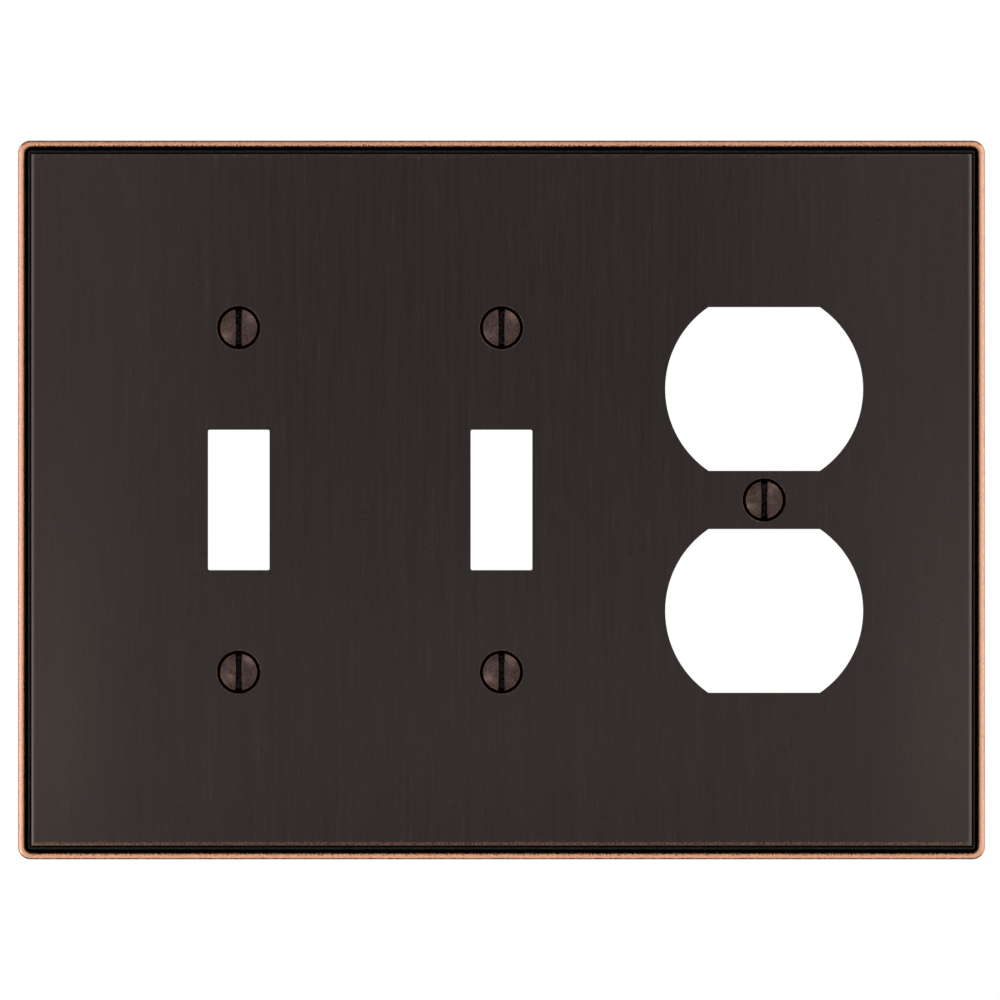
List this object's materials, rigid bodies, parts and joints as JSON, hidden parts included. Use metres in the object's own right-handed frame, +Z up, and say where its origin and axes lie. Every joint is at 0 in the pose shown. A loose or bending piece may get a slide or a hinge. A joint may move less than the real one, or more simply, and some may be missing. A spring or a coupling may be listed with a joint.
{
  "type": "wall plate cover",
  "caption": "Rectangular metal wall plate with a stepped border, openings for toggle switches and a duplex outlet, and slotted oval-head screws.",
  "frame": {"origin": "centre of the plate on the wall plane, which the back rim lies on", "axes": "+X to the right along the plate, +Z up, +Y into the wall, so that the face looks along -Y"},
  "size_m": [0.1694, 0.0136, 0.126],
  "materials": {
    "plate_finish": "aged bronze: copper plated, blackened, brushed up and down, bright copper worn through on the border, lacquered",
    "screw_finish": "aged bronze: copper plated steel, blackened and tumbled, copper worn through on the edges"
  },
  "bodies": {
    "plate": {"cover_plate": "plate_finish"},
    "switch_1_upper_screw": {"switch_1_upper_screw": "screw_finish"},
    "switch_1_lower_screw": {"switch_1_lower_screw": "screw_finish"},
    "switch_2_upper_screw": {"switch_2_upper_screw": "screw_finish"},
    "switch_2_lower_screw": {"switch_2_lower_screw": "screw_finish"},
    "outlet_screw": {"outlet_screw": "screw_finish"}
  },
  "joints": [
    {"name": "switch_1_upper_screw_out", "type": "slide", "parent": "plate", "child": "switch_1_upper_screw", "axis": [0, -1, 0], "range_m": [0, 0.014]},
    {"name": "switch_1_lower_screw_out", "type": "slide", "parent": "plate", "child": "switch_1_lower_screw", "axis": [0, -1, 0], "range_m": [0, 0.014]},
    {"name": "switch_2_upper_screw_out", "type": "slide", "parent": "plate", "child": "switch_2_upper_screw", "axis": [0, -1, 0], "range_m": [0, 0.014]},
    {"name": "switch_2_lower_screw_out", "type": "slide", "parent": "plate", "child": "switch_2_lower_screw", "axis": [0, -1, 0], "range_m": [0, 0.014]},
    {"name": "outlet_screw_out", "type": "slide", "parent": "plate", "child": "outlet_screw", "axis": [0, -1, 0], "range_m": [0, 0.014]}
  ]
}
